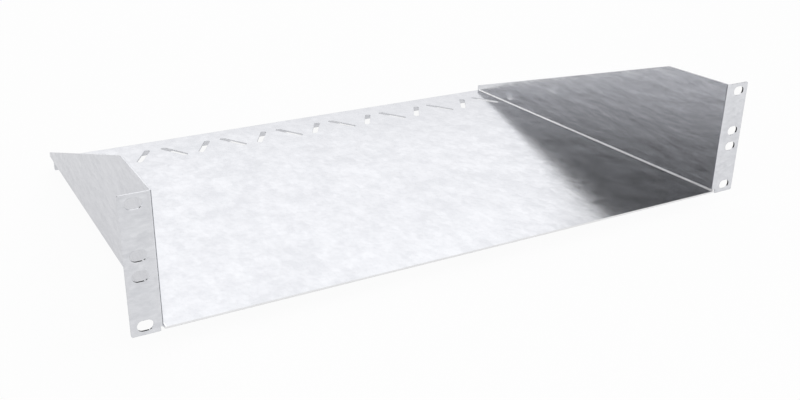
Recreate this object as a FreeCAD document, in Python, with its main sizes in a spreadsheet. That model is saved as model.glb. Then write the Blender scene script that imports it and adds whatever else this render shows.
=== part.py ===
"""Two-unit rack shelf, folded from one sheet of galvanised steel.

One blank makes the base, two walls that slope down to the back, an ear on the front of each wall and
a lip along the back. The ears' backs seat on the rack's rails, and that plane is y = 0. The origin is
the middle of the four outer slots there, x runs to the right and z up. All sizes are in millimetres.
"""

import FreeCAD, Part
import math
import os

import Sketcher
from FreeCAD import Vector

NODE = "rack_shelf"

SIZES = [
    ("thickness", 1.25, "thickness of the sheet"),
    ("bend_inside", 1.0, "inside radius of every bend"),
    ("ear_span", 482.6, "width over both ears, the 19 inch panel width"),
    ("ear_height", 88.1, "height of an ear, two rack units less the panel gap"),
    ("ear_reach", 19.8, "from a wall's inner face out to the ear's free edge"),
    ("depth", 324.0, "from the ears' front face to the back of the lip"),
    ("base_rise", 0.65, "from the ears' bottom edge up to the base's underside"),
    ("wall_flat", 62.5, "level part of a wall's top edge, from the ears' front face"),
    ("wall_back", 5.7, "height of a wall's back end over the base's underside"),
    ("lip_height", 12.0, "height of the lip, down from the base's top"),
    ("lip_slit", 1.0, "width of the slit between the lip and each side bend"),
    ("corner", 1.0, "radius of the ears' and lip's free corners"),
    ("slot_inset", 8.75, "from an ear's free edge to the middle of its slots"),
    ("slot_edge", 5.95, "from an ear's top or bottom edge to the middle of the nearest slot"),
    ("slot_gap", 12.7, "between the two middle slots of an ear, on centres"),
    ("slot_long", 10.0, "length of an ear slot"),
    ("slot_high", 7.0, "height of an ear slot"),
    ("tie_long", 30.0, "length of a tie slot"),
    ("tie_wide", 5.0, "width of a tie slot"),
    ("tie_angle", 60.0, "angle between a tie slot and the lip, in degrees"),
    ("tie_pitch", 27.5, "from one tie slot to the next"),
    ("tie_web", 5.0, "least width of sheet between a tie slot and a side bend"),
    ("tie_setback", 35.3, "from the back of the lip to the middle of the tie slots"),
]

# Formulas that several features share. Heights and depths are measured from the origin.
SHEET = "sizes.thickness"
INSIDE = "sizes.bend_inside"
OUTSIDE = "(sizes.bend_inside + sizes.thickness)"
EAR_EDGE = "(sizes.ear_span / 2)"
WALL_INNER = f"({EAR_EDGE} - sizes.ear_reach)"
WALL_OUTER = f"({WALL_INNER} + {SHEET})"
BASE_FLAT = f"({WALL_INNER} - {INSIDE})"
EAR_FLAT = f"({WALL_INNER} + {OUTSIDE})"
TOP = "(sizes.ear_height / 2)"
BASE_UNDER = "(sizes.base_rise - sizes.ear_height / 2)"
BASE_TOP = f"({BASE_UNDER} + {SHEET})"
LIP_BOTTOM = f"({BASE_TOP} - sizes.lip_height)"
FRONT = "(-sizes.thickness)"
BACK = "(sizes.depth - sizes.thickness)"
LIP_BEND = f"({BACK} - {OUTSIDE})"
TIE_ROW = f"({BACK} - sizes.tie_setback)"
TIE_REACH = "((sizes.tie_long - sizes.tie_wide) / 2)"
TIE_REACH_X = f"({TIE_REACH} * cos(sizes.tie_angle * 1 deg))"
TIE_REACH_Y = f"({TIE_REACH} * sin(sizes.tie_angle * 1 deg))"
TIE_LIMIT = f"({BASE_FLAT} - sizes.tie_web - {TIE_REACH_X} - sizes.tie_wide / 2)"
TIE_PAIRS = f"floor({TIE_LIMIT} / sizes.tie_pitch + 1 / 2)"


def make_sizes(document):
    """Fills the sheet of driving dimensions: one row each, with its name, value and meaning."""
    sheet = document.addObject("Spreadsheet::Sheet", "sizes")
    for row, (name, value, meaning) in enumerate(SIZES, start=1):
        sheet.set(f"A{row}", name)
        sheet.set(f"B{row}", str(value))
        sheet.set(f"C{row}", meaning)
        sheet.setAlias(f"B{row}", name)
    document.recompute()
    return sheet


def worth(owner, formula):
    """The value of a formula, as a plain number."""
    return float(owner.evalExpression(formula))


def origin_feature(body, role):
    """The body's own origin plane or axis with this role."""
    return next(item for item in body.Origin.OriginFeatures if item.Role == role)


def new_sketch(body, name, plane, offset=None):
    """A sketch on one of the body's origin planes, moved along the plane's normal by a formula."""
    sketch = body.newObject("Sketcher::SketchObject", name)
    sketch.AttachmentSupport = (origin_feature(body, plane), "")
    sketch.MapMode = "FlatFace"
    if offset:
        sketch.setExpression(".AttachmentOffset.Base.z", offset)
    return sketch


def dimension(sketch, kind, places, formula):
    """A driving dimension between the places given, bound to a formula."""
    number = sketch.addConstraint(Sketcher.Constraint(kind, *places, worth(sketch, formula)))
    sketch.setExpression(f"Constraints[{number}]", formula)


def locate(sketch, point, x=None, y=None):
    """Dimensions a point from the sketch's origin."""
    origin = (-1, 1)
    if x:
        dimension(sketch, "DistanceX", (*origin, *point), x)
    if y:
        dimension(sketch, "DistanceY", (*origin, *point), y)


class Edge:
    """One edge of an outline, with its ends and directions in the order of drawing."""

    def __init__(self, sketch, start, end, centre=None, turn=0):
        if centre is None:
            self.number = sketch.addGeometry(Part.LineSegment(start, end))
            self.start, self.end = (self.number, 1), (self.number, 2)
            self.leaves = self.arrives = (end - start).normalize()
            return
        first, last = (start, end) if turn > 0 else (end, start)
        circle = Part.Circle(centre, Vector(0, 0, 1), (start - centre).Length)
        angles = [math.atan2(point.y - centre.y, point.x - centre.x) for point in (first, last)]
        self.number = sketch.addGeometry(Part.ArcOfCircle(circle, *angles))
        self.centre = (self.number, 3)
        self.start, self.end = ((self.number, 1), (self.number, 2))[:: 1 if turn > 0 else -1]
        across = Vector(0, 0, turn)
        self.leaves = across.cross(start - centre).normalize()
        self.arrives = across.cross(end - centre).normalize()


def draw(sketch, corners):
    """Draws a closed outline and joins its edges, with tangency wherever two edges meet smoothly.

    A corner is (x, y), or (x, y, centre x, centre y, turn) where an arc leaves it. Turn is 1 for an
    arc that runs counter-clockwise and -1 for one that runs clockwise.
    """
    points = [Vector(worth(sketch, x), worth(sketch, y), 0) for x, y, *arc in corners]
    edges = []
    for number, (x, y, *arc) in enumerate(corners):
        start, end = points[number], points[(number + 1) % len(points)]
        if arc:
            centre = Vector(worth(sketch, arc[0]), worth(sketch, arc[1]), 0)
            edges.append(Edge(sketch, start, end, centre, arc[2]))
        else:
            edges.append(Edge(sketch, start, end))
    for number, edge in enumerate(edges):
        following = edges[(number + 1) % len(edges)]
        smooth = edge.arrives.dot(following.leaves) > 0.999999
        kind = "Tangent" if smooth else "Coincident"
        sketch.addConstraint(Sketcher.Constraint(kind, *edge.end, *following.start))
    return edges


def level(sketch, edges):
    for edge in edges:
        sketch.addConstraint(Sketcher.Constraint("Horizontal", edge.number))


def upright(sketch, edges):
    for edge in edges:
        sketch.addConstraint(Sketcher.Constraint("Vertical", edge.number))


def mirror_points(sketch, one, other):
    """Keeps two points level and equally far from the sketch's vertical axis."""
    vertical_axis = -2
    sketch.addConstraint(Sketcher.Constraint("Symmetric", *one, *other, vertical_axis))


def same_centre(sketch, one, other):
    sketch.addConstraint(Sketcher.Constraint("Coincident", *one.centre, *other.centre))


def rectangle(sketch, left, low, right, high):
    """A rectangle between two corners that are given by formulas."""
    edges = draw(sketch, [(left, low), (right, low), (right, high), (left, high)])
    level(sketch, edges[0::2])
    upright(sketch, edges[1::2])
    locate(sketch, edges[0].start, left, low)
    locate(sketch, edges[2].start, right, high)


def obround(sketch, middle_x, middle_y, reach_x, reach_y, width):
    """A round-ended slot. Reach is the way from its middle to the centre of its first round end."""
    ends = [
        (f"({middle_x}) {sign} ({reach_x})", f"({middle_y}) {sign} ({reach_y})") for sign in "+-"
    ]
    radius = worth(sketch, f"({width}) / 2")
    reach = Vector(worth(sketch, reach_x), worth(sketch, reach_y), 0)
    side = Vector(-reach.y, reach.x, 0).normalize() * radius
    (x_one, y_one), (x_two, y_two) = ends
    edges = draw(
        sketch,
        [
            (f"{x_one} - ({side.x})", f"{y_one} - ({side.y})", x_one, y_one, 1),
            (f"{x_one} + ({side.x})", f"{y_one} + ({side.y})"),
            (f"{x_two} + ({side.x})", f"{y_two} + ({side.y})", x_two, y_two, 1),
            (f"{x_two} - ({side.x})", f"{y_two} - ({side.y})"),
        ],
    )
    first, second = edges[0], edges[2]
    locate(sketch, first.centre, x_one, y_one)
    locate(sketch, second.centre, x_two, y_two)
    dimension(sketch, "Radius", (first.number,), f"({width}) / 2")
    sketch.addConstraint(Sketcher.Constraint("Equal", first.number, second.number))


def pad(body, name, sketch, length, both_ways=False, reverse=False):
    feature = body.newObject("PartDesign::Pad", name)
    feature.Profile = sketch
    feature.SideType = "Symmetric" if both_ways else "One side"
    feature.Reversed = reverse
    feature.setExpression("Length", length)
    return finish(body, feature)


def pocket(body, name, sketch, depth=None, both_ways=False):
    """Cuts to a depth, or through everything, and stops the build if the cut misses the sheet."""
    before = body.Shape.Volume
    feature = body.newObject("PartDesign::Pocket", name)
    feature.Profile = sketch
    feature.SideType = "Symmetric" if both_ways else "One side"
    if depth:
        feature.Type = "Length"
        feature.setExpression("Length", depth)
    else:
        feature.Type = "ThroughAll"
    finish(body, feature)
    if not body.Shape.Volume < before:
        raise RuntimeError(f"{name} cuts nothing")
    return feature


def finish(body, feature):
    """Makes a feature the body's last one and builds it."""
    body.Tip = feature
    body.Document.recompute()
    return feature


def add_channel(body):
    """The base and both walls, as one folded channel from the front to the back."""
    sketch = new_sketch(body, "channel_section", "XZ_Plane", offset=f"-({FRONT})")
    wall_foot = f"({BASE_UNDER} + {OUTSIDE})"
    edges = draw(
        sketch,
        [
            (f"-{BASE_FLAT}", BASE_UNDER),
            (BASE_FLAT, BASE_UNDER, BASE_FLAT, wall_foot, 1),
            (WALL_OUTER, wall_foot),
            (WALL_OUTER, TOP),
            (WALL_INNER, TOP),
            (WALL_INNER, wall_foot, BASE_FLAT, wall_foot, -1),
            (BASE_FLAT, BASE_TOP),
            (f"-{BASE_FLAT}", BASE_TOP, f"-{BASE_FLAT}", wall_foot, -1),
            (f"-{WALL_INNER}", wall_foot),
            (f"-{WALL_INNER}", TOP),
            (f"-{WALL_OUTER}", TOP),
            (f"-{WALL_OUTER}", wall_foot, f"-{BASE_FLAT}", wall_foot, 1),
        ],
    )
    under, right_out, right_outer, right_top, right_inner, right_in = edges[:6]
    above, left_in, left_inner, left_top, left_outer, left_out = edges[6:]
    level(sketch, [under, right_top, above, left_top])
    upright(sketch, [right_outer, right_inner, left_inner, left_outer])
    same_centre(sketch, right_out, right_in)
    same_centre(sketch, left_out, left_in)
    sketch.addConstraint(Sketcher.Constraint("Equal", right_in.number, left_in.number))
    mirror_points(sketch, right_top.end, left_inner.end)
    locate(sketch, right_top.end, WALL_INNER, TOP)
    locate(sketch, under.start, y=BASE_UNDER)
    dimension(sketch, "DistanceY", (*under.end, *above.start), SHEET)
    dimension(sketch, "Radius", (right_in.number,), INSIDE)
    return pad(body, "channel", sketch, "sizes.depth", reverse=True)


def clear_wall_front(body):
    """Takes the front of the right wall and its bend away, where the ear's own bend goes."""
    sketch = new_sketch(body, "wall_front_outline", "XY_Plane")
    rectangle(sketch, WALL_INNER, FRONT, EAR_FLAT, INSIDE)
    return pocket(body, "wall_front", sketch, both_ways=True)


def add_ear(body):
    """The right ear, with the bend that turns the wall outwards into it."""
    sketch = new_sketch(body, "ear_section", "XY_Plane")
    edges = draw(
        sketch,
        [
            (EAR_EDGE, FRONT),
            (EAR_EDGE, "0"),
            (EAR_FLAT, "0", EAR_FLAT, INSIDE, -1),
            (WALL_OUTER, INSIDE),
            (WALL_INNER, INSIDE, EAR_FLAT, INSIDE, 1),
            (EAR_FLAT, FRONT),
        ],
    )
    side, back, bend_in, wall_end, bend_out, front = edges
    upright(sketch, [side])
    level(sketch, [back, wall_end, front])
    same_centre(sketch, bend_in, bend_out)
    sketch.addConstraint(Sketcher.Constraint("Horizontal", *bend_in.centre, *wall_end.start))
    locate(sketch, side.start, EAR_EDGE, FRONT)
    locate(sketch, wall_end.end, x=WALL_INNER)
    locate(sketch, side.end, y="0 * sizes.thickness")
    dimension(sketch, "Radius", (bend_in.number,), INSIDE)
    return pad(body, "ear", sketch, "sizes.ear_height", both_ways=True)


def cut_ear_relief(body):
    """The notch at the foot of the ear's bend, where the three bends would meet."""
    sketch = new_sketch(body, "ear_relief_outline", "XZ_Plane", offset=f"-({FRONT})")
    rectangle(sketch, WALL_INNER, f"-{TOP}", EAR_FLAT, f"{BASE_UNDER} + {OUTSIDE}")
    return pocket(body, "ear_relief", sketch, depth=OUTSIDE)


def cut_ear_slots(body):
    """Four slots for the rack's screws, at the two-unit spacing."""
    sketch = new_sketch(body, "ear_slot_outlines", "XZ_Plane", offset=f"-({FRONT})")
    for height in (f"({TOP} - sizes.slot_edge)", "sizes.slot_gap / 2"):
        for sign in ("", "-"):
            obround(
                sketch,
                middle_x=f"{EAR_EDGE} - sizes.slot_inset",
                middle_y=f"{sign}{height}",
                reach_x="(sizes.slot_long - sizes.slot_high) / 2",
                reach_y="0 * sizes.slot_high",
                width="sizes.slot_high",
            )
    return pocket(body, "ear_slots", sketch)


def mirror_right_side(body, features):
    """Repeats the right side's features on the left."""
    feature = body.newObject("PartDesign::Mirrored", "left_side")
    feature.Originals = features
    feature.MirrorPlane = (origin_feature(body, "YZ_Plane"), [""])
    return finish(body, feature)


def slope_walls(body):
    """Cuts both walls down from their level front to their low back ends."""
    sketch = new_sketch(body, "wall_slope_outline", "YZ_Plane")
    knee = "sizes.wall_flat - sizes.thickness"
    low = f"{BASE_UNDER} + sizes.wall_back"
    slope, back, top = draw(sketch, [(knee, TOP), (BACK, low), (BACK, TOP)])
    upright(sketch, [back])
    level(sketch, [top])
    locate(sketch, slope.start, knee, TOP)
    locate(sketch, slope.end, BACK, low)
    return pocket(body, "wall_slope", sketch, both_ways=True)


def clear_base_back(body):
    """Takes the base's back edge away between the side bends, where the lip's bend goes."""
    sketch = new_sketch(body, "base_back_outline", "XY_Plane")
    reach = f"({BASE_FLAT} + sizes.lip_slit)"
    rectangle(sketch, f"-{reach}", LIP_BEND, reach, BACK)
    return pocket(body, "base_back", sketch)


def add_lip(body):
    """The lip along the back, with the bend that turns the base down into it."""
    sketch = new_sketch(body, "lip_section", "YZ_Plane")
    bend_level = f"({BASE_UNDER} - {INSIDE})"
    lip_inner = f"({BACK} - {SHEET})"
    edges = draw(
        sketch,
        [
            (LIP_BEND, BASE_UNDER),
            (LIP_BEND, BASE_TOP, LIP_BEND, bend_level, -1),
            (BACK, bend_level),
            (BACK, LIP_BOTTOM),
            (lip_inner, LIP_BOTTOM),
            (lip_inner, bend_level, LIP_BEND, bend_level, 1),
        ],
    )
    base_end, bend_out, outer, bottom, inner, bend_in = edges
    upright(sketch, [base_end, outer, inner])
    level(sketch, [bottom])
    same_centre(sketch, bend_in, bend_out)
    sketch.addConstraint(Sketcher.Constraint("Vertical", *bend_in.centre, *base_end.start))
    locate(sketch, base_end.start, y=BASE_UNDER)
    locate(sketch, base_end.end, y=BASE_TOP)
    locate(sketch, bottom.start, BACK, LIP_BOTTOM)
    dimension(sketch, "Radius", (bend_in.number,), INSIDE)
    return pad(body, "lip", sketch, f"2 * {BASE_FLAT}", both_ways=True)


def cut_tie_slots(body):
    """The first pair of leaning slots, and the row of such pairs along the back."""
    sketch = new_sketch(body, "tie_slot_outlines", "XY_Plane")
    first_pair = f"(-({TIE_PAIRS} - 1) * sizes.tie_pitch)"
    for side, lean in (("-", ""), ("+", "-")):
        obround(
            sketch,
            middle_x=f"{first_pair} {side} sizes.tie_pitch / 2",
            middle_y=TIE_ROW,
            reach_x=f"{lean}{TIE_REACH_X}",
            reach_y=TIE_REACH_Y,
            width="sizes.tie_wide",
        )
    pair = pocket(body, "tie_slot_pair", sketch)
    row = body.newObject("PartDesign::LinearPattern", "tie_slots")
    row.Originals = [pair]
    row.Direction = (origin_feature(body, "X_Axis"), [""])
    row.setExpression("Length", f"2 * ({TIE_PAIRS} - 1) * sizes.tie_pitch")
    row.setExpression("Occurrences", TIE_PAIRS)
    return finish(body, row)


def free_corners(shape, spots):
    """Names of the short edges along Y that stand at the (x, z) spots given, on either side."""
    names = []
    for number, edge in enumerate(shape.Edges, start=1):
        ends = [vertex.Point for vertex in edge.Vertexes]
        if len(ends) != 2 or (ends[0] - ends[1]).cross(Vector(0, 1, 0)).Length > 1e-6:
            continue
        if any(math.dist((abs(ends[0].x), ends[0].z), spot) < 1e-4 for spot in spots):
            names.append(f"Edge{number}")
    return names


def round_corners(body):
    """Rounds the free corners of the ears and of the lip."""
    spots = [(EAR_EDGE, TOP), (EAR_EDGE, f"-{TOP}"), (BASE_FLAT, LIP_BOTTOM)]
    spots = [(worth(body, x), worth(body, z)) for x, z in spots]
    base = body.Tip
    feature = body.newObject("PartDesign::Fillet", "corners")
    feature.Base = (base, free_corners(base.Shape, spots))
    feature.setExpression("Radius", "sizes.corner")
    return finish(body, feature)


def make_shelf(document):
    """The whole shelf, feature by feature, as the blank is cut and folded."""
    body = document.addObject("PartDesign::Body", NODE)
    body.Label = NODE
    add_channel(body)
    right_side = [clear_wall_front(body), add_ear(body), cut_ear_relief(body), cut_ear_slots(body)]
    mirror_right_side(body, right_side)
    slope_walls(body)
    clear_base_back(body)
    add_lip(body)
    cut_tie_slots(body)
    round_corners(body)
    return body


def check(document, body):
    """Stops the build if an object failed or the shelf is not one sound solid."""
    for item in document.Objects:
        if {"Invalid", "Error"} & set(item.State):
            raise RuntimeError(f"{item.Label} failed: {item.State}")
    shape = body.Shape
    if shape.isNull() or not shape.isValid() or len(shape.Solids) != 1:
        raise RuntimeError(f"{body.Label} is not one valid solid")


def main():
    document = FreeCAD.newDocument("rack_shelf_model")
    make_sizes(document)
    body = make_shelf(document)
    document.recompute()
    check(document, body)
    os.makedirs("parts", exist_ok=True)
    body.Shape.exportStep(f"parts/{body.Label}.step")


main()
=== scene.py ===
"""Looks of the rack shelf: galvanised sheet steel on a plain white floor."""

import math

import bpy
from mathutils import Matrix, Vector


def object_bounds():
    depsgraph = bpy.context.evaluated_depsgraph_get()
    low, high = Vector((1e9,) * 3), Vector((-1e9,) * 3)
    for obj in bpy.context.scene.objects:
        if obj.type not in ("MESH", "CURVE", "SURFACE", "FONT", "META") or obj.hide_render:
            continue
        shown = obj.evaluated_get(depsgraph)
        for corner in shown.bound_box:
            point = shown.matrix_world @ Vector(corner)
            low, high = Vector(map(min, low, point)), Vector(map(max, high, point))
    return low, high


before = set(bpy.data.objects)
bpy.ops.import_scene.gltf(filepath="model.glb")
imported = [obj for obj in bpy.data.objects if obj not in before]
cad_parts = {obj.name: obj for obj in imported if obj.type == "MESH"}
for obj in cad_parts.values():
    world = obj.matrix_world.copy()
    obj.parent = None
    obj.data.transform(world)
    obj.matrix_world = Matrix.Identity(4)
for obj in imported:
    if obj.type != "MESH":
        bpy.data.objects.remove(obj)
cad_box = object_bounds()

SHELF = "rack_shelf"
WHITE = (1.0, 1.0, 1.0, 1.0)

# The camera, from a fit of the shelf's straight edges to the photograph. Its place is in metres, its
# turns in degrees, its lens and sensor in millimetres, and the principal point in pixels.
CAMERA_PLACE = (-0.3452, -0.4768, 0.2394)
CAMERA_YAW = 28.07
CAMERA_PITCH = 22.76
CAMERA_NEAR = 0.01
SENSOR = 36.0
LENS = 42.455
PICTURE_WIDTH = 800
PICTURE_HEIGHT = 400
PRINCIPAL_POINT = (361.6, 198.7)

# The zinc. Its mottle runs from the first colour and roughness to the second ones.
ZINC_COLOURS = ((0.680, 0.689, 0.720, 1.0), (0.775, 0.783, 0.812, 1.0))
ZINC_ROUGHNESS = (0.22, 0.15)
ZINC_EDGE_TINT = (0.87, 0.87, 0.88, 1.0)
MOTTLE_SPAN = (0.38, 0.62)
MOTTLE_WEIGHTS = {"crystals": 0.20, "specks": 0.25, "clouds": 0.35, "haze": 0.20}
CRYSTAL_SCALE = 190.0
CRYSTAL_BEND = 0.004
CRYSTAL_SMOOTHNESS = 0.8
SPECK_SCALE = 320.0
CLOUD_SCALE = 75.0
CLOUD_DETAIL = 4.0
HAZE_SCALE = 14.0
DENT_SCALE = 60.0
DENT_DEPTH = 0.00015
PLAIN_DETAIL = 2.0
GRAIN_STRETCH = (1.0, 0.7, 2.0)
EDGE_RADIUS = 0.0004

# Limits of the folds, the ears' bends and the ears' slots, in metres from the shelf's middle.
BAY_HALF = 0.2214
FOLD_START = 0.2204
FOLD_END = 0.2216
FOLD_TOP = -0.0411
EAR_BEND_END = 0.2238
SLOTS_START = 0.2265
SLOTS_END = 0.2395
SLOTS_HEIGHT = 0.0425
LOWER_SLOTS_TOP = 0.02

# Parts of the sheet with a colour or roughness of their own: bare steel on the sheared edge, side folds that
# are burnished and carry a painted highlight, smoother ear bends, and slot walls with painted shade. Each is
# a list of tests on where a point lies and which way it faces. Outward, height and sideways are x, z and the
# normal's x without their signs.
SHEARED_EDGE = (
    ("outward", "LESS_THAN", BAY_HALF),
    ("y", "LESS_THAN", 0.0),
    ("normal_y", "LESS_THAN", -0.9),
)
# The inner side folds are burnished and smoother. Their paler colour is partly burnishing and partly a
# painted highlight along the fold line.
SIDE_FOLDS = (
    ("outward", "GREATER_THAN", FOLD_START),
    ("outward", "LESS_THAN", FOLD_END),
    ("z", "LESS_THAN", FOLD_TOP),
    ("normal_z", "GREATER_THAN", 0.02),
)
EAR_BENDS = (
    ("outward", "GREATER_THAN", BAY_HALF),
    ("outward", "LESS_THAN", EAR_BEND_END),
    ("sideways", "GREATER_THAN", 0.1),
    ("normal_y", "LESS_THAN", -0.1),
)
EAR_SLOTS = (
    ("outward", "GREATER_THAN", SLOTS_START),
    ("outward", "LESS_THAN", SLOTS_END),
    ("height", "LESS_THAN", SLOTS_HEIGHT),
)
# Painted shade: the ends of the right ear's slots and the floors of the left ear's lower slots are coloured
# near black where shade falls in them.
RIGHT_SLOT_ENDS = EAR_SLOTS + (
    ("x", "GREATER_THAN", 0.0),
    ("sideways", "GREATER_THAN", 0.8),
)
LEFT_SLOT_FLOORS = EAR_SLOTS + (
    ("x", "LESS_THAN", 0.0),
    ("z", "LESS_THAN", LOWER_SLOTS_TOP),
    ("normal_x", "GREATER_THAN", -0.15),
    ("normal_z", "GREATER_THAN", 0.6),
)
SHEARED_STEEL = (0.84, 0.84, 0.85, 1.0)
# Partly burnished zinc and partly a painted highlight that brightens the line along the side folds.
BURNISHED_ZINC_AND_PAINTED_HIGHLIGHT = (0.96, 0.96, 0.97, 1.0)
# Near black, a painted shade for some ear slot walls, not a colour of the steel.
PAINTED_SLOT_SHADE = (0.05, 0.05, 0.05, 1.0)
BURNISH = 0.13

# The studio. Azimuths run from the back (+Y) towards the right (+X), in degrees. The two shade shares
# say how much of the floor's shadow is left where the camera sees it and where the metal mirrors it.
FLOOR_REACH = 12.0
FLOOR_COLOUR = (0.9, 0.9, 0.9, 1.0)
BACKGROUND_STRENGTH = 1.0
SEEN_SHADE_SHARE = 0.06
MIRRORED_SHADE_SHARE = 0.28
DARK_CLOTH = (0.04, 0.04, 0.04, 1.0)
SCREEN_DISTANCE = 2.5
SCREEN_STEPS = 12
LEFT_SCREEN = {"azimuths": (-74, -17), "elevations": (15.5, 54)}
RIGHT_SCREEN = {"azimuths": (66, 118), "elevations": (2, 42)}
SOFTBOX = {
    "azimuth": 17,
    "elevation": 29,
    "distance": 3.0,
    "width": 2.6,
    "height": 1.4,
    "radiance": 0.27,
}


def direction(azimuth, elevation):
    turn = math.radians(azimuth)
    lift = math.radians(elevation)
    return (math.sin(turn) * math.cos(lift), math.cos(turn) * math.cos(lift), math.sin(lift))


def add_object(name, data):
    item = bpy.data.objects.new(name, data)
    bpy.context.collection.objects.link(item)
    return item


def add_camera():
    data = bpy.data.cameras.new("camera")
    data.sensor_width = SENSOR
    data.lens = LENS
    data.shift_x = (PICTURE_WIDTH / 2 - PRINCIPAL_POINT[0]) / PICTURE_WIDTH
    data.shift_y = (PRINCIPAL_POINT[1] - PICTURE_HEIGHT / 2) / PICTURE_WIDTH
    data.clip_start = CAMERA_NEAR
    camera = add_object("camera", data)
    camera.location = CAMERA_PLACE
    camera.rotation_euler = (math.radians(90 - CAMERA_PITCH), 0, math.radians(-CAMERA_YAW))
    bpy.context.scene.camera = camera


def new_material(name):
    material = bpy.data.materials.new(name)
    material.use_nodes = True
    return material, material.node_tree, material.node_tree.nodes["Principled BSDF"]


def math_node(tree, operation, first, second):
    node = tree.nodes.new("ShaderNodeMath")
    node.operation = operation
    for socket, value in zip(node.inputs, (first, second)):
        if isinstance(value, (int, float)):
            socket.default_value = value
        else:
            tree.links.new(value, socket)
    return node.outputs["Value"]


def absolute(tree, value):
    return math_node(tree, "ABSOLUTE", value, 0.0)


def product(tree, values):
    result = values[0]
    for value in values[1:]:
        result = math_node(tree, "MULTIPLY", result, value)
    return result


def weighted_sum(tree, pairs):
    result = 0.0
    for value, weight in pairs:
        result = math_node(tree, "ADD", math_node(tree, "MULTIPLY", value, weight), result)
    return result


def vector_node(tree, operation, vector, factors):
    node = tree.nodes.new("ShaderNodeVectorMath")
    node.operation = operation
    node.inputs[1].default_value = factors
    tree.links.new(vector, node.inputs[0])
    return node


def split(tree, vector):
    node = tree.nodes.new("ShaderNodeSeparateXYZ")
    tree.links.new(vector, node.inputs["Vector"])
    return node.outputs


def noise(tree, place, scale, detail=PLAIN_DETAIL):
    node = tree.nodes.new("ShaderNodeTexNoise")
    node.inputs["Scale"].default_value = scale
    node.inputs["Detail"].default_value = detail
    tree.links.new(place, node.inputs["Vector"])
    return node.outputs


def map_range(tree, value, source, target):
    node = tree.nodes.new("ShaderNodeMapRange")
    node.inputs["From Min"].default_value = source[0]
    node.inputs["From Max"].default_value = source[1]
    node.inputs["To Min"].default_value = target[0]
    node.inputs["To Max"].default_value = target[1]
    tree.links.new(value, node.inputs["Value"])
    return node.outputs["Result"]


def mix_colours(tree, factor, first, second):
    node = tree.nodes.new("ShaderNodeMix")
    node.data_type = "RGBA"
    tree.links.new(factor, node.inputs["Factor"])
    for name, value in (("A", first), ("B", second)):
        socket = [item for item in node.inputs if item.name == name and item.type == "RGBA"][0]
        if isinstance(value, tuple):
            socket.default_value = value
        else:
            tree.links.new(value, socket)
    return [item for item in node.outputs if item.type == "RGBA"][0]


def crystals(tree, place):
    """Random grey of each zinc crystal, with its outline bent by a noise."""
    wobble = noise(tree, place, CRYSTAL_SCALE)["Color"]
    bent = vector_node(tree, "MULTIPLY_ADD", wobble, (CRYSTAL_BEND, CRYSTAL_BEND, CRYSTAL_BEND))
    tree.links.new(place, bent.inputs[2])
    cells = tree.nodes.new("ShaderNodeTexVoronoi")
    cells.feature = "SMOOTH_F1"
    cells.inputs["Scale"].default_value = CRYSTAL_SCALE
    cells.inputs["Smoothness"].default_value = CRYSTAL_SMOOTHNESS
    tree.links.new(bent.outputs["Vector"], cells.inputs["Vector"])
    grey = tree.nodes.new("ShaderNodeRGBToBW")
    tree.links.new(cells.outputs["Color"], grey.inputs["Color"])
    return grey.outputs["Val"]


def zinc_mottle(tree, place, grain):
    """How bright the zinc is: crystals, specks and clouds along the grain, and a wide haze."""
    layers = {
        "crystals": crystals(tree, grain),
        "specks": noise(tree, grain, SPECK_SCALE)["Fac"],
        "clouds": noise(tree, grain, CLOUD_SCALE, CLOUD_DETAIL)["Fac"],
        "haze": noise(tree, place, HAZE_SCALE)["Fac"],
    }
    return weighted_sum(tree, [(layers[name], weight) for name, weight in MOTTLE_WEIGHTS.items()])


def dented_normal(tree, grain):
    """Rounded cut edges, and the shallow dents that rolling leaves."""
    rounded = tree.nodes.new("ShaderNodeBevel")
    rounded.inputs["Radius"].default_value = EDGE_RADIUS
    bump = tree.nodes.new("ShaderNodeBump")
    bump.inputs["Distance"].default_value = DENT_DEPTH
    tree.links.new(noise(tree, grain, DENT_SCALE)["Fac"], bump.inputs["Height"])
    tree.links.new(rounded.outputs["Normal"], bump.inputs["Normal"])
    return bump.outputs["Normal"]


def read_sheet(tree, place):
    """What the tests of the sheet's parts can ask about a point."""
    sheet = dict(zip(("x", "y", "z"), split(tree, place)))
    normal = tree.nodes.new("ShaderNodeNewGeometry").outputs["True Normal"]
    sheet.update(zip(("normal_x", "normal_y", "normal_z"), split(tree, normal)))
    sheet["outward"] = absolute(tree, sheet["x"])
    sheet["height"] = absolute(tree, sheet["z"])
    sheet["sideways"] = absolute(tree, sheet["normal_x"])
    return sheet


def region(tree, sheet, tests):
    """One where every test holds, nought elsewhere."""
    return product(tree, [math_node(tree, operation, sheet[name], limit) for name, operation, limit in tests])


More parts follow.
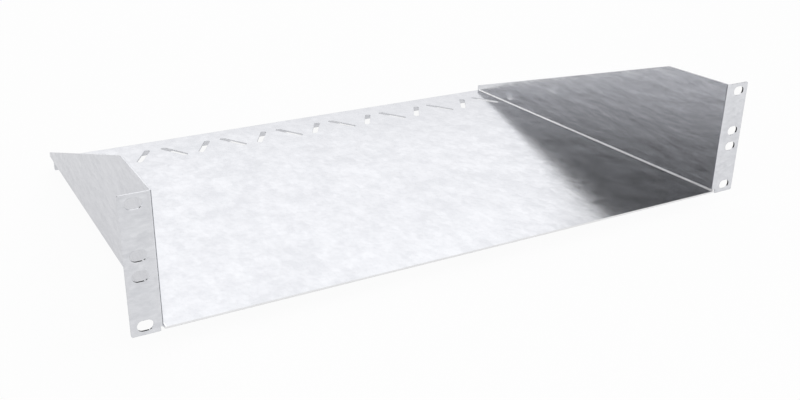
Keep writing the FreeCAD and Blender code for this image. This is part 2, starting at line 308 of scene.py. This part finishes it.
def galvanised():
    material, tree, shader = new_material("galvanised")
    shader.inputs["Metallic"].default_value = 1.0
    shader.inputs["Specular Tint"].default_value = ZINC_EDGE_TINT
    place = tree.nodes.new("ShaderNodeTexCoord").outputs["Object"]
    grain = vector_node(tree, "MULTIPLY", place, GRAIN_STRETCH).outputs["Vector"]
    mottle = zinc_mottle(tree, place, grain)
    sheet = read_sheet(tree, place)
    sheared, folds, bends, slot_ends, slot_floors = [
        region(tree, sheet, tests)
        for tests in (SHEARED_EDGE, SIDE_FOLDS, EAR_BENDS, RIGHT_SLOT_ENDS, LEFT_SLOT_FLOORS)
    ]
    # Painted shade in the slot walls of both ears.
    painted_slot_shade = math_node(tree, "MAXIMUM", slot_ends, slot_floors)
    colour = mix_colours(tree, map_range(tree, mottle, MOTTLE_SPAN, (0.0, 1.0)), *ZINC_COLOURS)
    # Over the mottle go bare steel on the sheared edge, burnishing with a painted highlight in the side
    # folds, and painted shade in some ear slots.
    for part, patch_colour in ((sheared, SHEARED_STEEL), (folds, BURNISHED_ZINC_AND_PAINTED_HIGHLIGHT), (painted_slot_shade, PAINTED_SLOT_SHADE)):
        colour = mix_colours(tree, part, colour, patch_colour)
    tree.links.new(colour, shader.inputs["Base Color"])
    roughness = map_range(tree, mottle, MOTTLE_SPAN, ZINC_ROUGHNESS)
    smoother = math_node(tree, "MULTIPLY", math_node(tree, "MAXIMUM", folds, bends), BURNISH)
    tree.links.new(math_node(tree, "SUBTRACT", roughness, smoother), shader.inputs["Roughness"])
    tree.links.new(dented_normal(tree, grain), shader.inputs["Normal"])
    return material


def matt_material(name, colour):
    material, tree, shader = new_material(name)
    shader.inputs["Base Color"].default_value = colour
    shader.inputs["Roughness"].default_value = 1.0
    return material, tree, shader


def new_mesh(name, points, faces, material):
    mesh = bpy.data.meshes.new(name)
    mesh.from_pydata(points, [], faces)
    mesh.materials.append(material)
    return mesh


def floor_material():
    """A white that the camera and the metal see nearly unshaded, with a faint shadow kept."""
    material, tree, shader = matt_material("floor", FLOOR_COLOUR)
    shader.inputs["Specular IOR Level"].default_value = 0.0
    glow = tree.nodes.new("ShaderNodeEmission")
    glow.inputs["Color"].default_value = WHITE
    glow.inputs["Strength"].default_value = BACKGROUND_STRENGTH
    ray = tree.nodes.new("ShaderNodeLightPath").outputs
    seen = math_node(tree, "MAXIMUM", ray["Is Camera Ray"], ray["Is Transmission Ray"])
    unshaded = weighted_sum(tree, (
        (seen, 1.0 - SEEN_SHADE_SHARE),
        (ray["Is Glossy Ray"], 1.0 - MIRRORED_SHADE_SHARE),
    ))
    mix = tree.nodes.new("ShaderNodeMixShader")
    tree.links.new(unshaded, mix.inputs["Fac"])
    tree.links.new(shader.outputs["BSDF"], mix.inputs[1])
    tree.links.new(glow.outputs["Emission"], mix.inputs[2])
    tree.links.new(mix.outputs["Shader"], tree.nodes["Material Output"].inputs["Surface"])
    return material


def add_floor(low):
    reach = FLOOR_REACH
    corners = [(-reach, -reach, low), (reach, -reach, low), (reach, reach, low), (-reach, reach, low)]
    mesh = new_mesh("floor", corners, [(0, 1, 2, 3)], floor_material())
    add_object("floor", mesh)


def add_screen(name, azimuths, elevations):
    """A dark cloth that stands round a part of the studio, as metal needs something dark to show."""
    points = []
    for step in range(SCREEN_STEPS + 1):
        azimuth = azimuths[0] + (azimuths[1] - azimuths[0]) * step / SCREEN_STEPS
        for elevation in elevations:
            points.append([SCREEN_DISTANCE * part for part in direction(azimuth, elevation)])
    faces = [(first, first + 2, first + 3, first + 1) for first in range(0, 2 * SCREEN_STEPS, 2)]
    cloth = matt_material(name, DARK_CLOTH)[0]
    screen = add_object(name, new_mesh(name, points, faces, cloth))
    screen.visible_camera = False


def add_softbox(name, azimuth, elevation, distance, width, height, radiance):
    data = bpy.data.lights.new(name, "AREA")
    data.shape = "RECTANGLE"
    data.size = width
    data.size_y = height
    data.energy = radiance * math.pi * width * height
    lamp = add_object(name, data)
    lamp.location = [distance * part for part in direction(azimuth, elevation)]
    lamp.rotation_euler = (math.radians(90 - elevation), 0, math.radians(180 - azimuth))
    lamp.visible_camera = False


def add_world():
    world = bpy.data.worlds.new("studio")
    world.use_nodes = True
    background = world.node_tree.nodes["Background"]
    background.inputs["Color"].default_value = WHITE
    background.inputs["Strength"].default_value = BACKGROUND_STRENGTH
    bpy.context.scene.world = world


add_camera()
add_world()
add_floor(cad_box[0].z)
add_screen("left_screen", **LEFT_SCREEN)
add_screen("right_screen", **RIGHT_SCREEN)
add_softbox("softbox", **SOFTBOX)
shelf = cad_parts[SHELF]
shelf.data.materials.clear()
shelf.data.materials.append(galvanised())
bpy.context.scene.view_settings.view_transform = "Standard"
